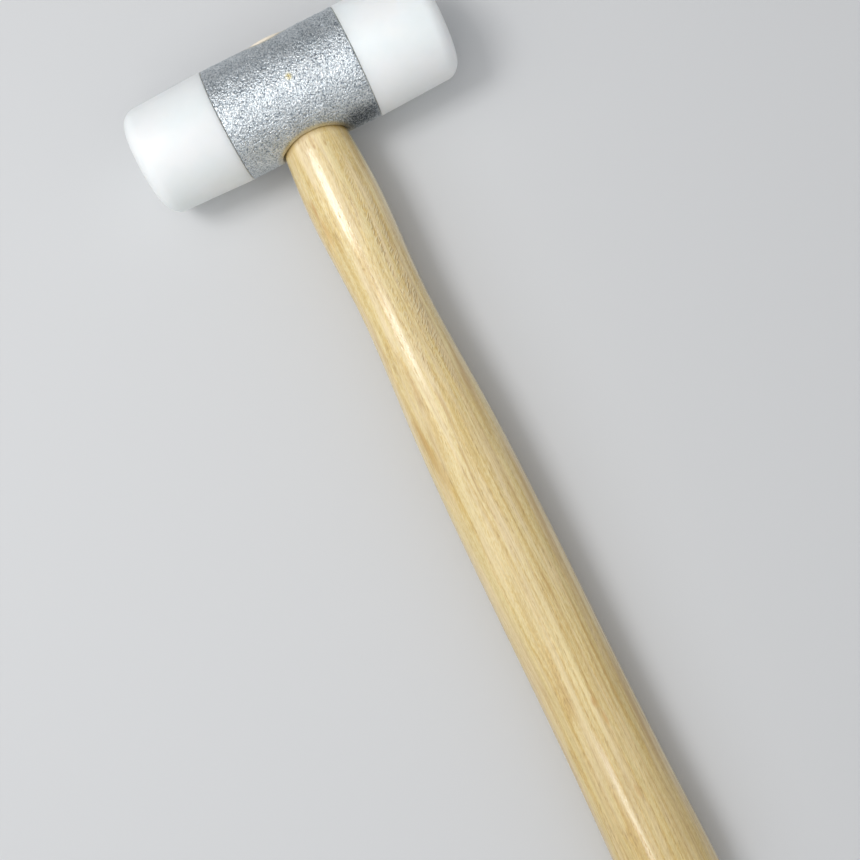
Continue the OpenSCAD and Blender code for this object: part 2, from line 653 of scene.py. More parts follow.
@dataclass(frozen=True)
class ZincCasting(Finish):
    """Sand-cast iron, bright zinc plated: rough metal that glitters, smooth at its lips, its pits darkened
    with painted shade and its crests whitened with painted glints.
    """

    NAME: ClassVar[str] = "zinc-plated casting"

    pit_painted_shade: str = "#78838E"
    flank: str = "#D6DFE5"
    crest: str = "#F6FAFC"
    # Heights at which the skin has these three colours: painted shade in the pits, the flank, and painted
    # glints on the crests
    heights: Triple = (0.54, 0.74, 0.86)
    # The faced ends and the lips are bare of that skin; the bare colour's warm tone is a painted reflection
    # of the wood beside the lip
    bare_with_painted_reflection: Layer = Layer("#D6D3C6", 1.0, (1.0, 0.0))
    # Moulding sand is some 0.2 to 0.4 mm coarse, drawn a little coarser so that it shows
    sand: Grain = Grain(0.45, 0.68, 2.0, -26.0)
    sparkle: Grain = Grain(0.24, 0.35, 1.0, -26.0)
    sparkle_share: float = 0.55
    swell: Grain = Grain(5.0, 5.0, 2.0)
    swell_shade: Pair = (0.82, 1.0)
    # Crests are rubbed clean of marks, between these heights and down to this share; the painted shade patch
    # is held back on them the same way
    rubbed: Pair = (0.94, 0.7)
    rubbed_share: float = 0.5
    surface: Surface = Surface((0.48, 0.22), 1.0, 0.34)
    marks: tuple[Mark, ...] = (
        Mark((1.7, -0.15, 17.5), (1.5, 1.6, 1.2), "#D3BC55", 0.7),
        # Painted shade: a dark patch multiplied over the housing's lower right, beside the right face
        Mark((16.5, -17.0, 4.0), (11.7, 5.8, 9.1), "#5E646A", 1.0, 0.0, Blend.TINT),
    )

    def look(self, on: Drawing) -> dict:
        """Draws the finish.

        Args:
            on: The drawing.

        Returns:
            What goes into each input of the shader.
        """
        # Plated sand grain throws small glints from each facet, so grain drives colour, gloss and bump alike;
        # in the colour, the dark pits are painted shade and the white crests are painted glints
        cast = on.add("Attribute", attribute_name=HeadHousing.SKIN)["Fac"]
        fine = self.sparkle.noise(on)[0]
        summed = {0: fine, 1: self.sparkle_share, 2: self.sand.noise(on)[0]}
        height = on.add("Math", summed, operation="MULTIPLY_ADD")[0]
        stops = list(zip(self.heights, (self.pit_painted_shade, self.flank, self.crest)))
        skin = on.add("ValToRGB", {0: height}, stops=stops)[0]
        dark, light = self.swell_shade
        swelling = {**NOISE_SPAN, "Value": self.swell.noise(on)[0], "To Min": dark, "To Max": light}
        dulled = {MIX_FACTOR: 1.0, MIX_A: skin, MIX_B: on.add("MapRange", swelling)[0]}
        toned = on.add("Mix", dulled, data_type="RGBA", blend_type=Blend.TINT.value)[MIX_RESULT]
        # Bare metal at the faced ends and the lips, warmed by a painted reflection of the wood
        colour = self.bare_with_painted_reflection.paint(on, toned, cast)
        top, flat = self.rubbed
        held = {"Value": height, "From Min": top, "From Max": flat, "To Min": self.rubbed_share}
        pits = on.add("MapRange", held)[0]
        for mark in self.marks:
            colour = mark.paint(on, colour, pits)
        rise = on.add("Math", {0: height, 1: cast}, operation="MULTIPLY")[0]
        return {"Base Color": colour, "Metallic": 1.0, **self.surface.lay(on, fine, rise)}


@dataclass(frozen=True)
class MouldedNylon(Finish):
    """White nylon, moulded and struck: milky, satin, with light that sinks in at the edges."""

    NAME: ClassVar[str] = "moulded nylon"

    milk: str = "#F4FAFA"
    worn: str = "#EEF4F4"
    tones: Pair = (0.35, 0.6)
    cloud: Grain = Grain(16.0, 16.0, 3.0)
    orange_peel: Grain = Grain(1.1, 1.1, 2.0)
    surface: Surface = Surface((0.36, 0.46), 0.25, 0.03)
    ior: float = 1.53
    glow: float = 0.9
    glow_reach: float = 3.0
    glow_colours: Triple = (1.0, 0.95, 0.9)

    def look(self, on: Drawing) -> dict:
        """Draws the finish.

        Args:
            on: The drawing.

        Returns:
            What goes into each input of the shader.
        """
        # Light goes some millimetres into nylon, so that its shadows are soft and its edges seem to glow
        cloud = self.cloud.noise(on)[0]
        peel = self.orange_peel.noise(on)[0]
        stops = list(zip(self.tones, (self.worn, self.milk)))
        return {
            "Base Color": on.add("ValToRGB", {0: cloud}, stops=stops)[0],
            "IOR": self.ior,
            "Subsurface Weight": self.glow,
            "Subsurface Radius": self.glow_colours,
            "Subsurface Scale": self.glow_reach * MM,
            **self.surface.lay(on, peel, peel),
        }


@dataclass(frozen=True)
class RolledSteel(Finish):
    """Carbon steel with a rolled thread, lightly oiled: grey, dark in the roots, marked round the axis."""

    NAME: ClassVar[str] = "rolled steel"

    root: str = "#6C6E71"
    crest: str = "#B9BBBE"
    tones: Pair = (0.15, 1.0)
    root_radius: float = 4.95
    crest_radius: float = 6.0
    # Rolling marks are some hundredths of a millimetre wide, drawn wider so that they show
    mark: Grain = Grain(0.3, 2.6, 3.0, 0.0, 2.6)
    mark_share: float = 0.5
    surface: Surface = Surface((0.26, 0.42), 0.4, 0.02)

    def look(self, on: Drawing) -> dict:
        """Draws the finish.

        Args:
            on: The drawing.

        Returns:
            What goes into each input of the shader.
        """
        # The rolls burnish the crests, and oil gathers in the roots
        marks = self.mark.noise(on)[0]
        across = on.add("VectorMath", {0: on.where, 1: ACROSS_HEAD}, operation="MULTIPLY")[0]
        radius = on.add("VectorMath", {0: across}, operation="LENGTH")["Value"]
        risen = {"Value": radius, "From Min": self.root_radius, "From Max": self.crest_radius}
        mottled = {0: marks, 1: self.mark_share, 2: on.add("MapRange", risen)[0]}
        tone = on.add("Math", mottled, operation="MULTIPLY_ADD")[0]
        stops = list(zip(self.tones, (self.root, self.crest)))
        colour = on.add("ValToRGB", {0: tone}, stops=stops)[0]
        return {"Base Color": colour, "Metallic": 1.0, **self.surface.lay(on, marks, marks)}


@dataclass(frozen=True)
class SawnBeech(Finish):
    """Beech, sawn to a wedge and sanded flush with the tenon: plain reddish tan with short dark flecks."""

    NAME: ClassVar[str] = "sawn beech"

    pale: str = "#CFA877"
    dark: str = "#B58754"
    tones: Pair = (0.3, 0.7)
    fleck: Layer = Layer("#8A6036", 0.7, (0.3, 0.12))
    fleck_size: float = 0.8
    fibre: Grain = Grain(0.35, 6.0, 3.0)
    surface: Surface = Surface((0.55, 0.75), 0.5, 0.06)
    ior: float = 1.5

    def look(self, on: Drawing) -> dict:
        """Draws the finish.

        Args:
            on: The drawing.

        Returns:
            What goes into each input of the shader.
        """
        # Beech has no rings to speak of, so the eye finds it by its flecks and its redder tone beside the ash
        fibre = self.fibre.noise(on)[0]
        rays = on.add("TexVoronoi", {"Vector": on.where, "Scale": 1 / self.fleck_size})["Distance"]
        stops = list(zip(self.tones, (self.pale, self.dark)))
        wood = on.add("ValToRGB", {0: fibre}, stops=stops)[0]
        colour = self.fleck.paint(on, wood, rays)
        return {"Base Color": colour, "IOR": self.ior, **self.surface.lay(on, fibre, fibre)}


@dataclass(frozen=True)
class LacqueredAsh(Finish):
    """Ash turned along the grain under clear gloss lacquer: cream wood, tan rings, dashes of open pores."""

    NAME: ClassVar[str] = "lacquered ash"

    pale: str = "#E8D6A2"
    cream: str = "#E0C480"
    gold: str = "#D2A656"
    tones: Triple = (0.0, 0.38, 1.0)
    blush: Layer = Layer("#E9D4AC", 0.6, (0.44, 0.64))
    fleck: Layer = Layer("#D3A258", 0.4, (0.6, 0.8))
    pore: Layer = Layer("#A97C40", 0.32)
    # Shares of the painted highlight and the painted shade on the curls' flanks
    painted_highlight_share: float = 0.75
    painted_shade_flank: Layer = Layer("#A97C40", 0.48)
    # Painted shade on the wood near the housing's round skin, where the handle enters it, so this span is in
    # radii of the head
    joint: Layer = Layer("#A98D50", 0.6, (18.9, 17.3))
    # Darker towards the butt: partly the wood's tone, partly painted shade where less light falls
    butt_tone_and_shade: Layer = Layer("#EBE5D0", blend=Blend.TINT)
    end_grain: Layer = Layer("#F3EBDD", 0.85)
    # From where to where along the handle the butt's darker tone, partly the wood's own and partly painted
    # shade, and the bare end of the tenon come in
    drift_y: Pair = (-40.0, -270.0)
    bare_with_painted_reflection_y: Pair = (14.4, 15.0)
    ring: float = 1.7
    ring_middle: float = 0.25
    ring_growth: float = 1.2
    ring_luck: float = 3.6
    # How porous the wood is through the year, as a grey
    seasons: tuple[tuple[float, str], ...] = (
        (0.0, "#A2A2A2"),
        (0.12, "#989898"),
        (0.35, "#808080"),
        (0.9, "#747474"),
        (1.0, "#A2A2A2"),
    )
    pith: Pair = (55.0, -60.0)
    warp: float = 2.6
    sway: float = 1.6
    wander: Grain = Grain(18.0, 110.0, 3.0)
    uneven: Grain = Grain(6.0, 400.0)
    ripple: Grain = Grain(3.0, 7.0, 1.0)
    # Ash fibres and pores are near 0.1 mm wide, drawn wider so that they show
    fibre: Grain = Grain(0.3, 2.4, 2.0, -8.0)
    fluff: Grain = Grain(0.25, 1.1, 1.0, -12.0)
    streak: Grain = Grain(2.2, 70.0, 2.0)
    mottle: Grain = Grain(2.6, 34.0, 2.0, -1.0)
    blotch: Grain = Grain(0.75, 30.0, 1.0)
    vessel: Grain = Grain(0.36, 5.0, 0.0, -6.0)
    curl: Grain = Grain(0.7, 2.0, 0.0, -32.0, 2.4)
    # What fibre, fluff and streaks add to the tone, and how far fibre, blotches and streaks change its depth
    tone_shares: Triple = (0.7, 0.8, 1.15)
    depth_shares: Triple = (0.12, 0.14, 0.1)
    # Distances in grains from the rim to the heart of a pore and of a curl, and from its middle to its flank
    pore_heart: Pair = (0.46, 0.16)
    curl_heart: Pair = (0.7, 0.4)
    curl_flank: float = 0.2
    # Early wood that brings in rows of pores, and streaks that bring in bands of curls
    pore_rows: Pair = (0.2, 0.32)
    curl_bands: Pair = (0.47, 0.57)
    pore_depth: float = 1.2
    curl_depth: float = 1.6
    relief: float = 0.06
    film_strength: float = 0.2
    film_relief: float = 0.05
    roughness: float = 0.5
    ior: float = 1.5
    coat_roughness: float = 0.13
    coat_ior: float = 1.55
    # Where the wood is curled, in the colour of the painted highlight on one flank of each curl
    curled: Mark = Mark((4.5, -66.0, 8.5), (9.0, 62.0, 9.0), "#F6EAC2", 1.0)
    marks: tuple[Mark, ...] = (
        Mark((-9.0, -36.0, 6.4), (0.6, 4.6, 1.5), "#C58F45", 0.6, 0.05),
        Mark((-8.7, -44.0, 6.8), (1.4, 8.0, 1.6), "#DDB067", 0.5, 0.03),
        Mark((-0.76, -19.6, 9.2), (0.6, 1.2, 0.9), "#B5854A", 0.55),
        Mark((2.6, -19.9, 8.9), (0.5, 1.4, 0.9), "#B98A4E", 0.5),
        Mark((-0.1, -107.0, 10.7), (0.4, 12.0, 1.3), "#BC9656", 0.35, 0.05),
        Mark((-1.0, -121.0, 11.1), (0.4, 11.0, 1.2), "#B4894C", 0.45, 0.06),
        Mark((-1.6, -131.0, 11.3), (0.4, 9.0, 1.2), "#B08448", 0.5, 0.02),
        Mark((-1.1, -140.0, 11.5), (0.4, 8.0, 1.2), "#BC9656", 0.35, -0.08),
        Mark((9.4, -106.0, 6.6), (1.3, 34.0, 3.0), "#BC9450", 0.5, 0.03),
        Mark((11.3, -150.0, 5.2), (1.2, 40.0, 3.0), "#BC9450", 0.5, 0.02),
        Mark((-9.6, -118.0, 6.6), (1.3, 26.0, 3.0), "#C89C52", 0.45, -0.03),
        Mark((11.8, -215.0, 5.4), (1.1, 36.0, 3.0), "#B88E4A", 0.5, 0.01),
        Mark((8.6, -190.0, 9.2), (0.6, 40.0, 2.0), "#B88E4A", 0.4, 0.01),
        Mark((1.65, -204.6, 11.8), (1.1, 2.6, 1.0), "#D49F55", 0.5),
        Mark((2.7, -210.7, 11.7), (0.9, 3.4, 1.0), "#D49F55", 0.45),
        Mark((1.9, -234.1, 12.1), (1.0, 3.6, 1.0), "#D2A055", 0.4),
    )

    def look(self, on: Drawing) -> dict:
        """Draws the finish.

        Args:
            on: The drawing.

        Returns:
            What goes into each input of the shader.
        """
        # Long fibres and rows of pores draw the eye along the handle, under the sharp stripe of the lacquer
        wander = self.wander.noise(on)["Color"]
        centred = on.add("VectorMath", {0: wander, 1: (NOISE_MIDDLE,) * 3}, operation="SUBTRACT")[0]
        shifted = {0: centred, 1: (2 * self.warp, 0.0, 2 * self.warp), 2: on.where}
        bent = on.at(on.add("VectorMath", shifted, operation="MULTIPLY_ADD")[0])
        swayed = {0: self.ripple.noise(bent)["Color"], 1: (self.sway, 0.0, self.sway), 2: bent.where}
        rippled = on.at(on.add("VectorMath", swayed, operation="MULTIPLY_ADD")[0])
        grains = (self.fibre, self.fluff, self.streak, self.mottle, self.blotch)
        fibre, fluff, streak, mottle, blotch = (grain.noise(bent)[0] for grain in grains)
        early = self.early_wood(bent, self.uneven.noise(on)[0])
        pores = self.dashes(rippled, early)
        lit, shaded = self.curls(rippled, streak, self.curled.share(on))
        place_y = on.add("SeparateXYZ", {0: on.where})["Y"]
        drift, end = (
            on.add("MapRange", {"Value": place_y, "From Min": low, "From Max": high})[0]
            for low, high in (self.drift_y, self.bare_with_painted_reflection_y)
        )
        # The rings stand out more and more towards the butt
        swing = on.add("Math", {0: early, 1: self.ring_middle}, operation="SUBTRACT")[0]
        stronger = on.add("Math", {0: swing, 1: self.ring_growth}, operation="MULTIPLY")[0]
        tone = on.add("Math", {0: stronger, 1: drift, 2: early}, operation="MULTIPLY_ADD")[0]
        for value, share in zip((fibre, fluff, streak), self.tone_shares):
            centre = on.add("Math", {0: value, 1: NOISE_MIDDLE}, operation="SUBTRACT")[0]
            tone = on.add("Math", {0: centre, 1: share, 2: tone}, operation="MULTIPLY_ADD")[0]
        stops = list(zip(self.tones, (self.pale, self.cream, self.gold)))
        colour = on.add("ValToRGB", {0: tone}, stops=stops)[0]
        layers = (
            (self.blush, mottle),
            (self.fleck, blotch),
            (self.pore, pores),
            # Painted highlight on one flank of each curl, and painted shade on the other
            (Layer(self.curled.colour, self.painted_highlight_share), lit),
            (self.painted_shade_flank, shaded),
        )
        for layer, value in layers:
            colour = layer.paint(on, colour, value)
        # Wood of one hue still varies in depth, from fibre to fibre and from streak to streak
        for value, depth in zip((fibre, blotch, streak), self.depth_shares):
            ranged = {**NOISE_SPAN, "Value": value, "To Min": 1 + depth / 2, "To Max": 1 - depth / 2}
            mixed = {MIX_FACTOR: 1.0, MIX_A: colour, MIX_B: on.add("MapRange", ranged)[0]}
            colour = on.add("Mix", mixed, data_type="RGBA", blend_type=Blend.TINT.value)[MIX_RESULT]
        for mark in self.marks:
            colour = mark.paint(on, colour)
        # Painted shade near the housing, found by the radius across the head
        across = on.add("VectorMath", {0: on.where, 1: ACROSS_HEAD}, operation="MULTIPLY")[0]
        radius = on.add("VectorMath", {0: across}, operation="LENGTH")["Value"]
        # Then the butt's darker tone, partly painted shade, and the bare end grain
        for layer, value in ((self.joint, radius), (self.butt_tone_and_shade, drift), (self.end_grain, end)):
            colour = layer.paint(on, colour, value)
        height = fibre
        for opened, depth in ((pores, self.pore_depth), (shaded, self.curl_depth)):
            height = on.add("Math", {0: opened, 1: -depth, 2: height}, operation="MULTIPLY_ADD")[0]
        bumped = {"Strength": 1.0, "Distance": self.relief * MM, "Height": height}
        filmed = {"Strength": self.film_strength, "Distance": self.film_relief * MM, "Height": height}
        return {
            "Base Color": colour,
            "Roughness": self.roughness,
            "IOR": self.ior,
            "Normal": on.add("Bump", bumped)[0],
            "Coat Weight": on.add("Math", {0: 1.0, 1: end}, operation="SUBTRACT")[0],
            "Coat Roughness": self.coat_roughness,
            "Coat IOR": self.coat_ior,
            "Coat Normal": on.add("Bump", filmed)[0],
        }

    def early_wood(self, on: Drawing, luck: NodeSocket) -> NodeSocket:
        """Draws the year rings.

        Args:
            on: The drawing, by the place along the wandering grain.
            luck: What makes some years wider than others.

        Returns:
            The share of porous early wood.
        """
        flat = {"Vector": on.where, "Location": (-self.pith[0], 0.0, -self.pith[1]), "Scale": (1.0, 0.0, 1.0)}
        from_pith = on.add("Mapping", flat)[0]
        radius = on.add("VectorMath", {0: from_pith}, operation="LENGTH")["Value"]
        age = on.add("Math", {0: radius, 1: self.ring}, operation="DIVIDE")[0]
        lucky = on.add("Math", {0: luck, 1: self.ring_luck, 2: age}, operation="MULTIPLY_ADD")[0]
        season = on.add("Math", {0: lucky}, operation="FRACT")[0]
        return on.add("ValToRGB", {0: season}, stops=self.seasons)[0]

    def curls(self, on: Drawing, streak: NodeSocket, region: NodeSocket) -> tuple[NodeSocket, NodeSocket]:
        """Draws bands of short curled fibres, each with one flank for a painted highlight and one for painted
        shade.

        Args:
            on: The drawing, by the place along the rippled grain.
            streak: The streaks along the handle, which the bands follow.
            region: Where the wood is curled at all.

        Returns:
            The share of flanks that get the painted highlight and the share that get the painted shade.
        """
        place = self.curl.place(on)
        cells = on.add("TexVoronoi", {"Vector": place, "Scale": 1.0})
        offset = on.add("VectorMath", {0: place, 1: cells["Position"]}, operation="SUBTRACT")[0]
        side = on.add("SeparateXYZ", {0: offset})["X"]
        share = region
        for value, (low, high) in ((cells["Distance"], self.curl_heart), (streak, self.curl_bands)):
            limit = on.add("MapRange", {"Value": value, "From Min": low, "From Max": high})[0]
            share = on.add("Math", {0: share, 1: limit}, operation="MULTIPLY")[0]
        flanks = []
        for far in (-self.curl_flank, self.curl_flank):
            faced = on.add("MapRange", {"Value": side, "From Min": 0.0, "From Max": far})[0]
            flanks.append(on.add("Math", {0: faced, 1: share}, operation="MULTIPLY")[0])
        return flanks[0], flanks[1]

    def dashes(self, on: Drawing, early: NodeSocket) -> NodeSocket:
        """Draws rows of open pores in the early wood.

        Args:
            on: The drawing, by the place along the rippled grain.
            early: The share of porous early wood.

        Returns:
            The depth of the pores.
        """
        place = self.vessel.place(on)
        cells = on.add("TexVoronoi", {"Vector": place, "Scale": 1.0})
        rim, heart = self.pore_heart
        opened = {"Value": cells["Distance"], "From Min": rim, "From Max": heart}
        dash = on.add("MapRange", opened, interpolation_type="SMOOTHSTEP")[0]
        few, many = self.pore_rows
        rows = on.add("MapRange", {"Value": early, "From Min": few, "From Max": many})[0]
        return on.add("Math", {0: dash, 1: rows}, operation="MULTIPLY")[0]


@dataclass
class HeadHousing:
    """The cast housing: an oval eye for the handle, and a tapped socket in each end."""

    SKIN: ClassVar[str] = "cast_skin"

    radius: float = 17.5
    length: float = 44.0
    end_chamfer: float = 0.28
    eye: Outline = ((-26.0, 14.0), (-18.5, 11.52), (-14.5, 10.23), (-6.5, 9.25), (6.5, 9.25), (26.0, 10.058))
    oval: float = 0.86
    socket_depth: float = 10.5
    socket_fit: float = 0.05
    countersink: float = 1.0
    voxel: float = 0.3
    smoothing: float = 0.5
    smooth_passes: int = 2
    # The lip is rounded over on the handle's side: its width, its depth, and where that side fades out
    lip: float = 1.3
    lip_depth: Pair = (2.5, 1.5)
    lip_side: Pair = (-2.0, 2.0)
    lip_passes: int = 24
    # The rough skin fades out below the surface, at the faced ends and towards the eye
    skin_depth: Pair = (0.7, 0.3)
    faced: Pair = (0.25, 0.05)
    rubbed_lip: Pair = (0.7, 2.4)
    # What the mould leaves on the skin, with its size and its height
    mould: tuple[tuple[str, float, float], ...] = (("mould swell", 3.2, 0.14), ("sand grain", 0.5, 0.28))
    mould_level: float = 0.6
    smooth_below: float = 60.0
    sides: int = 256

    def eye_half(self, place: float) -> float:
        """Half width of the eye.

        Args:
            place: Where along the handle.

        Returns:
            The half width there.
        """
        for (low, first), (high, second) in zip(self.eye, self.eye[1:]):
            if place <= high:
                return first + (second - first) * (place - low) / (high - low)
        return self.eye[-1][1]

    def from_eye(self, place: Vector) -> float:
        """Distance of a place from the eye's wall, outwards."""
        return math.hypot(place.x, place.z / self.oval) - self.eye_half(place.y)

    def near_skin(self, place: Vector, depth: Pair) -> float:
        """Weight of what lies near the round skin, between two depths below it."""
        return ease(math.hypot(place.y, place.z), self.radius - depth[0], self.radius - depth[1])

    def on_lip(self, place: Vector) -> float:
        """Weight of the lip that is rounded over at a place."""
        front = self.near_skin(place, self.lip_depth) * (1 - ease(place.y, *self.lip_side))
        return front * (1 - ease(abs(self.from_eye(place)), self.lip, 2 * self.lip))

    def on_skin(self, place: Vector) -> float:
        """Weight of the rough cast skin.

        Args:
            place: Where on the housing.

        Returns:
            The weight there.
        """
        half = self.length / 2
        skin = self.near_skin(place, self.skin_depth)
        faced = ease(abs(place.x), half - self.faced[0], half - self.faced[1])
        return skin * (1 - faced) * ease(self.from_eye(place), *self.rubbed_lip)

    def build_tap(self, thread: "ScrewThread") -> Object:
        """Makes the tool that taps and countersinks the socket of the right end.

        Args:
            thread: The thread.

        Returns:
            The closed tool, in millimetres.
        """
        half = self.length / 2
        tap = thread.rod(half - self.socket_depth, half + CUT_OVER, self.socket_fit)
        wide = thread.radius + self.socket_fit + self.countersink
        point = (half - self.countersink - CUT_OVER, wide - self.countersink - CUT_OVER)
        sink = loft([point, (half + CUT_OVER, wide + CUT_OVER)], Axis.HEAD, self.sides)
        work(tap, sink, Join.ADD)
        return tap

    def build(self, tap: Object) -> Object:
        """Casts the housing: the core, the rounded lip, the sand grain, then the faced and tapped ends.

        Args:
            tap: The tool for the socket of the right end, which is used up.

        Returns:
            The housing, in millimetres.
        """
        half = self.length / 2
        far = half + CUT_OVER
        slim = self.radius - self.end_chamfer - CUT_OVER
        shoulder = half - self.end_chamfer
        bar = [(-far, slim), (-shoulder, self.radius), (shoulder, self.radius), (far, slim)]
        casting = loft(bar, Axis.HEAD, self.sides)
        work(casting, loft(self.eye, Axis.HANDLE, self.sides, self.oval))
        apply_modifier(casting, "REMESH", mode="VOXEL", voxel_size=self.voxel)
        apply_modifier(casting, "SMOOTH", factor=self.smoothing, iterations=self.smooth_passes)
        weigh(casting, "lip", self.on_lip)
        rounding = {"factor": self.smoothing, "iterations": self.lip_passes}
        apply_modifier(casting, "SMOOTH", vertex_group="lip", **rounding)
        weigh(casting, "skin", self.on_skin)
        for name, size, height in self.mould:
            texture = bpy.data.textures.new(name, "CLOUDS")
            texture.noise_scale = size
            texture.noise_depth = 1
            apply_modifier(
                casting,
                "DISPLACE",
                texture=texture,
                texture_coords="LOCAL",
                strength=height,
                mid_level=self.mould_level,
                vertex_group="skin",
            )
        with editing(casting):
            for end in End:
                trim(end.value * half, end.value)
        work(casting, copy_to(End.LEFT, tap))
        work(casting, tap)
        skin = casting.data.attributes.new(self.SKIN, "FLOAT", "POINT")
        skin.data.foreach_set("value", [self.on_skin(corner.co) for corner in casting.data.vertices])
        return casting

    def dress(self, casting: Object, lie: Lie) -> None:
        """Plates the casting and seats it in the frame.

        Args:
            casting: The housing, in millimetres.
            lie: How the hammer lies in the frame.
        """
        lay_down(casting, lie, self.smooth_below)
        casting.data.materials.append(ZincCasting().material(lie))
        seat(casting, "cast_housing", Body.HEAD_AND_HANDLE, "head_housing")


@dataclass
class ScrewThread:
    """A right-handed metric thread along the head, and what it cuts or is cut on."""

    radius: float = 6.0
    pitch: float = 1.75
    crest_share: float = 0.125
    root_share: float = 0.25
    depth_share: float = 0.6134
    spare_turns: int = 2
    steps: int = 72
    weld: float = 0.001

    def rod(self, low: float, high: float, wider: float = 0.0) -> Object:
        """Winds a threaded rod along the head's axis.

        Args:
            low: Where it begins on X.
            high: Where it ends.
            wider: What is added to its radius, for a tap.

        Returns:
            The closed rod.
        """
        crest = self.radius + wider
        root = crest - self.depth_share * self.pitch
        flank = (1 - self.crest_share - self.root_share) / 2 * self.pitch
        flat_root = self.root_share * self.pitch
        flat_crest = self.crest_share * self.pitch
        first = math.floor(low / self.pitch) - self.spare_turns
        turns = math.ceil(high / self.pitch) + self.spare_turns - first
        moves = ((flat_root, 0.0), (flank, crest - root), (flat_crest, 0.0), (flank, root - crest))
        profile = start(bpy.ops.mesh.primitive_plane_add, size=1.0)
        with editing(profile):
            bpy.ops.mesh.select_all(action="SELECT")
            bpy.ops.mesh.merge(type="CENTER")
            bpy.ops.transform.translate(value=(first * self.pitch, 0.0, root))
            for forward, up in moves:
                bpy.ops.mesh.extrude_region_move(TRANSFORM_OT_translate={"value": (forward, 0.0, up)})
        wound = {"screw_offset": self.pitch, "iterations": turns}
        fineness = {"steps": self.steps, "render_steps": self.steps}
        apply_modifier(profile, "SCREW", axis="X", use_merge_vertices=False, **wound, **fineness)
        with editing(profile):
            bpy.ops.mesh.select_all(action="SELECT")
            bpy.ops.mesh.remove_doubles(threshold=self.weld)
            trim(low, -1.0)
            trim(high, 1.0)
            face_outwards()
        return profile


@dataclass
class ScrewedFaces:
    """The two screwed-in nylon faces and the threaded studs that hold them, made once and copied."""

    seat_x: float = 22.0
    length: float = 28.0
    seam_radius: float = 17.65
    draft: float = 2.0
    edge: float = 5.0
    edge_steps: int = 14
    seam_bevel: float = 0.25
    seam_steps: int = 2
    # The shape of a bevel that is a quarter of a circle
    quarter_round: float = 0.5
    socket_depth: float = 14.5
    socket_fit: float = 0.05
    stud_in: float = 10.0
    stud_out: float = 14.0
    stud_bevel: float = 1.0
    # How far the shape that bevels the stud's ends clears its thread
    stud_clear: float = 0.2
    face_smooth_below: float = 40.0
    stud_smooth_below: float = 30.0
    sides: int = 192

    def build_face(self, thread: ScrewThread) -> Object:
        """Moulds the right face: a drafted drum with a rounded striking edge and a threaded blind socket.

        Args:
            thread: The thread.

        Returns:
            The face, in millimetres.
        """
        far = self.seat_x + self.length
        narrow = self.seam_radius - self.length * math.tan(math.radians(self.draft))
        face = loft([(self.seat_x, self.seam_radius), (far, narrow)], Axis.HEAD, self.sides)
        rims = (
            (lambda corner: corner.x > far - TOUCH, self.edge, self.edge_steps),
            (lambda corner: corner.x < self.seat_x + TOUCH, self.seam_bevel, self.seam_steps),
        )
        with editing(face):
            for on_rim, wide, steps in rims:
                pick(Part.EDGES, on_rim)
                bpy.ops.mesh.bevel(offset=wide, segments=steps, profile=self.quarter_round, affect="EDGES")
            face_outwards()
        work(face, thread.rod(self.seat_x - CUT_OVER, self.seat_x + self.socket_depth, self.socket_fit))
        return face

    def build_stud(self, thread: ScrewThread) -> Object:
        """Cuts the right stud from threaded rod and bevels its ends.

        Args:
            thread: The thread.

        Returns:
            The stud, in millimetres.
        """
        low = self.seat_x - self.stud_in
        high = self.seat_x + self.stud_out
        stud = thread.rod(low - CUT_OVER, high + CUT_OVER)
        wide = thread.radius + self.stud_clear
        slim = thread.radius - self.stud_bevel
        run = self.stud_bevel + self.stud_clear
        turned = [(low, slim), (low + run, wide), (high - run, wide), (high, slim)]
        work(stud, loft(turned, Axis.HEAD, self.sides), Join.KEEP_INSIDE)
        return stud

    def dress(self, face: Object, stud: Object, lie: Lie) -> None:
        """Copies the face and the stud to both ends, with their materials, and seats them in the frame.

        Args:
            face: The right face, in millimetres, which is used up.
            stud: The right stud, in millimetres, which is used up.
            lie: How the hammer lies in the frame.
        """
        kinds = (
            (face, "nylon_face", "face", Slot.NYLON, MouldedNylon(), self.face_smooth_below),
            (stud, "threaded_stud", "stud", Slot.STEEL, RolledSteel(), self.stud_smooth_below),
        )
        for made, name, node, slot, finish, smooth_below in kinds:
            made.data.materials.append(finish.material(lie))
            for end in End:
                piece = copy_to(end, made)
                lay_down(piece, lie, smooth_below)
                seat(piece, f"{end.word}_{name}", end.body, f"{end.word}_{node}")
            bpy.data.objects.remove(made)


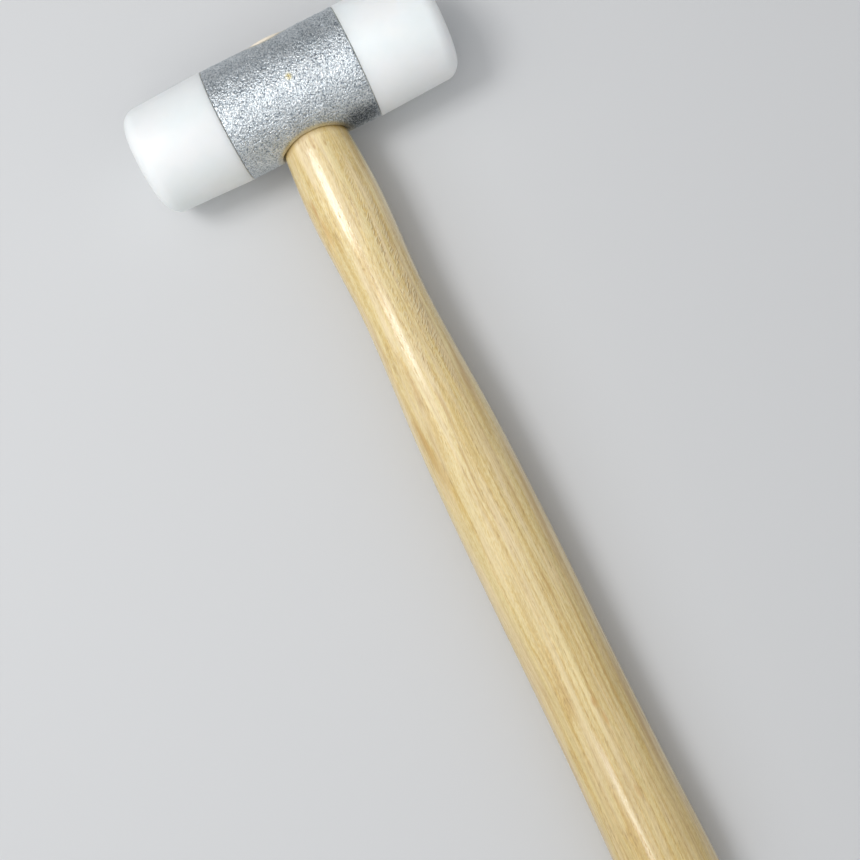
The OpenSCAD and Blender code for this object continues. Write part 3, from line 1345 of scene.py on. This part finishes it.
@dataclass
class AshHandle:
    """The oval ash handle, with its tenon, the saw kerf and the pocket of the ring wedge."""

    oval: float = 0.86
    stations: Outline = (
        (-17.5, 10.55),
        (-32.0, 11.55),
        (-72.0, 10.75),
        (-112.5, 12.7),
        (-232.5, 14.1),
        (-271.85, 14.95),
    )
    butt_y: float = -283.85
    butt_round: float = 5.0
    butt_steps: int = 14
    tenon: Outline = ((-14.5, 9.90), (-6.5, 9.2), (6.5, 9.2), (15.95, 9.59), (16.15, 9.4))
    tenon_y: float = 16.15
    kerf_wide: float = 24.0
    wedge_length: float = 20.0
    wedge_thick: float = 2.6
    wedge_tip: float = 0.8
    wedge_fit: float = 0.05
    ring_radius: float = 5.0
    ring_wall: float = 1.5
    ring_length: float = 9.0
    ring_sunk: float = 0.3
    ring_sides: int = 96
    step: float = 2.5
    smooth_below: float = 35.0
    sides: int = 144

    def slope(self, number: int) -> float:
        """Slope of the outline at a station, level at the flare.

        Args:
            number: The station.

        Returns:
            Change of half width along the handle.
        """
        places = self.stations

        def chord(at: int) -> float:
            """Slope of the chord from one station to the next."""
            return (places[at + 1][1] - places[at][1]) / (places[at + 1][0] - places[at][0])

        if number == 0:
            return chord(0)
        if number == len(places) - 1:
            return 0.0
        before = places[number][0] - places[number - 1][0]
        after = places[number + 1][0] - places[number][0]
        return (chord(number) * before + chord(number - 1) * after) / (before + after)

    def grip(self) -> list[Pair]:
        """Draws the outline from the housing to the flare, on a smooth cubic through the stations.

        Returns:
            Place along the handle and half width.
        """
        points = []
        for number, ((low, first), (high, second)) in enumerate(zip(self.stations, self.stations[1:])):
            span = high - low
            count = math.ceil(abs(span) / self.step)
            for part in range(count):
                t = part / count
                half = (2 * t**3 - 3 * t**2 + 1) * first + (3 * t**2 - 2 * t**3) * second
                half += (t**3 - 2 * t**2 + t) * span * self.slope(number)
                half += (t**3 - t**2) * span * self.slope(number + 1)
                points.append((low + t * span, half))
        return points

    def butt(self) -> list[Pair]:
        """Draws the outline of the rounded butt, from the flare to its flat end.

        Returns:
            Place along the handle and half width.
        """
        flare_y, flare = self.stations[-1]
        rise = flare_y - self.butt_y
        points = []
        for part in range(self.butt_steps + 1):
            turn = math.pi / 2 * part / self.butt_steps
            points.append((flare_y - rise * math.sin(turn), flare - self.butt_round * (1 - math.cos(turn))))
        return points

    def kerf(self) -> Object:
        """Makes the tool that cuts the room of the wooden wedge.

        Returns:
            The closed tool, in millimetres.
        """
        tip_y = self.tenon_y - self.wedge_length - self.wedge_fit
        past_y = self.tenon_y + CUT_OVER
        tip = self.wedge_tip + 2 * self.wedge_fit
        thick = self.wedge_thick + 2 * self.wedge_fit
        block = start(bpy.ops.mesh.primitive_cube_add, size=1.0)
        with editing(block):
            bpy.ops.mesh.select_all(action="SELECT")
            bpy.ops.transform.resize(value=(self.kerf_wide, past_y - tip_y, tip))
            bpy.ops.transform.translate(value=(0.0, (past_y + tip_y) / 2, 0.0))
            pick(Part.FACES, lambda corner: corner.y > past_y - TOUCH)
            bpy.ops.transform.resize(value=(1.0, 1.0, thick / tip), center_override=(0.0, past_y, 0.0))
        return block

    def ring_pocket(self) -> Object:
        """Makes the tool that cuts the room of the ring wedge.

        Returns:
            The closed tool, in millimetres.
        """
        low = self.tenon_y - self.ring_sunk - self.ring_length - self.wedge_fit
        high = self.tenon_y + CUT_OVER
        outer = self.ring_radius + self.wedge_fit
        inner = self.ring_radius - self.ring_wall - self.wedge_fit
        pocket = loft([(low, outer), (high, outer)], Axis.HANDLE, self.ring_sides)
        core = [(low - CUT_OVER, inner), (high + CUT_OVER, inner)]
        work(pocket, loft(core, Axis.HANDLE, self.ring_sides))
        return pocket

    def build(self) -> Object:
        """Turns the handle and cuts its tenon.

        Returns:
            The handle, in millimetres.
        """
        outline = list(reversed(self.grip() + self.butt())) + list(self.tenon)
        handle = loft(outline, Axis.HANDLE, self.sides, self.oval)
        for tool in (self.kerf(), self.ring_pocket()):
            work(handle, tool)
        return handle

    def dress(self, handle: Object, lie: Lie) -> None:
        """Lacquers the handle, seats it in the frame, and finishes the two wedges.

        Args:
            handle: The handle, in millimetres.
            lie: How the hammer lies in the frame.
        """
        lay_down(handle, lie, self.smooth_below)
        handle.data.materials.append(LacqueredAsh().material(lie))
        seat(handle, "ash_handle", Body.HEAD_AND_HANDLE, "handle")
        finishes = {"wood_wedge": SawnBeech(), "ring_wedge": RolledSteel()}
        for node, finish in finishes.items():
            wedge = frame["nodes"][node]
            wedge.data.materials.clear()
            wedge.data.materials.append(finish.material(lie))
            LOG.info("%s: finished as %s", node, finish.NAME)


@dataclass(frozen=True)
class Lamp:
    """A rectangular softbox: its place and aim in the frame, its size in metres and its power in watts."""

    name: str
    place: Triple
    aim: Triple
    wide: float
    long: float
    power: float

    def hang(self) -> None:
        """Hangs the lamp, squared to the handle."""
        back = (Vector(self.place) - Vector(self.aim)).normalized()
        right = Axis.HANDLE.line.cross(back).normalized()
        squared = Matrix((right, back.cross(right), back)).transposed()
        bpy.ops.object.light_add(type="AREA", location=self.place, rotation=squared.to_euler())
        lamp = bpy.context.object
        lamp.name = self.name
        lamp.data.shape = "RECTANGLE"
        lamp.data.size = self.wide
        lamp.data.size_y = self.long
        lamp.data.energy = self.power


@dataclass
class Studio:
    """Pale floor, soft lamps, and the camera at the photograph's angle."""

    camera_place: Triple = (5.75, -106.09, 352.70)
    camera_turn: Triple = (-1.588, 1.547, -26.032)
    lens: float = 48.14
    sensor: float = 36.0
    nearest: float = 0.01
    floor_size: float = 8.0
    floor_colour: str = "#D3D4D5"
    floor_roughness: float = 0.9
    floor_sheen: float = 0.1
    fill_colour: str = "#F4F6FA"
    fill_strength: float = 0.33
    lamps: tuple[Lamp, ...] = (
        Lamp("head lamp", (-0.29, 0.2425, 0.64), (-0.01, 0.08, 0.02), 0.23, 0.22, 1.68),
        Lamp("butt lamp", (-0.26, -0.37, 0.64), (0.0, -0.1, 0.02), 0.12, 0.12, 0.26),
        Lamp("large softbox", (-0.45, 0.12, 0.95), (0.0, 0.08, 0.02), 1.4, 1.4, 5.7),
        Lamp("front fill", (0.5, -0.5, 0.8), (0.0, 0.05, 0.02), 1.2, 1.2, 1.8),
    )

    def build_camera(self, lie: Lie) -> None:
        """Sets up the camera, whose place is measured in millimetres on the hammer's own axes.

        Args:
            lie: How the hammer lies in the frame.
        """
        turn = Euler([math.radians(angle) for angle in self.camera_turn]).to_matrix()
        turn.rotate(Euler((lie.slope, 0.0, 0.0)))
        place = lie.to_frame() @ Vector(self.camera_place)
        bpy.ops.object.camera_add(location=place, rotation=turn.to_euler())
        camera = bpy.context.object
        camera.data.lens = self.lens
        camera.data.sensor_width = self.sensor
        camera.data.clip_start = self.nearest
        bpy.context.scene.camera = camera

    def build_lamps(self) -> None:
        """Hangs the softboxes and sets the even fill."""
        for lamp in self.lamps:
            lamp.hang()
        world = bpy.data.worlds.new("studio fill")
        bpy.context.scene.world = world
        on = Drawing.fresh(world)
        fill = {"Color": linear(self.fill_colour), "Strength": self.fill_strength}
        on.add("OutputWorld", {"Surface": on.add("Background", fill)[0]})

    def build_floor(self) -> None:
        """Lays the floor."""
        floor = start(bpy.ops.mesh.primitive_plane_add, size=self.floor_size)
        floor.name = "floor"
        material = bpy.data.materials.new("pale studio floor")
        on = Drawing.fresh(material)
        look = {
            "Base Color": linear(self.floor_colour),
            "Roughness": self.floor_roughness,
            "Specular IOR Level": self.floor_sheen,
        }
        on.add("OutputMaterial", {"Surface": on.add("BsdfPrincipled", look)[0]})
        floor.data.materials.append(material)


def main() -> None:
    """Builds the studio and the hammer."""
    logging.basicConfig(level=logging.INFO, format="%(name)s: %(message)s")
    bpy.context.scene.view_settings.view_transform = "Standard"
    lie = Lie.from_record(frame["record"])
    studio = Studio()
    studio.build_camera(lie)
    studio.build_lamps()
    studio.build_floor()
    thread = ScrewThread()
    housing = HeadHousing()
    housing.dress(housing.build(housing.build_tap(thread)), lie)
    handle = AshHandle()
    handle.dress(handle.build(), lie)
    faces = ScrewedFaces()
    faces.dress(faces.build_face(thread), faces.build_stud(thread), lie)


if __name__ == "__main__":
    main()
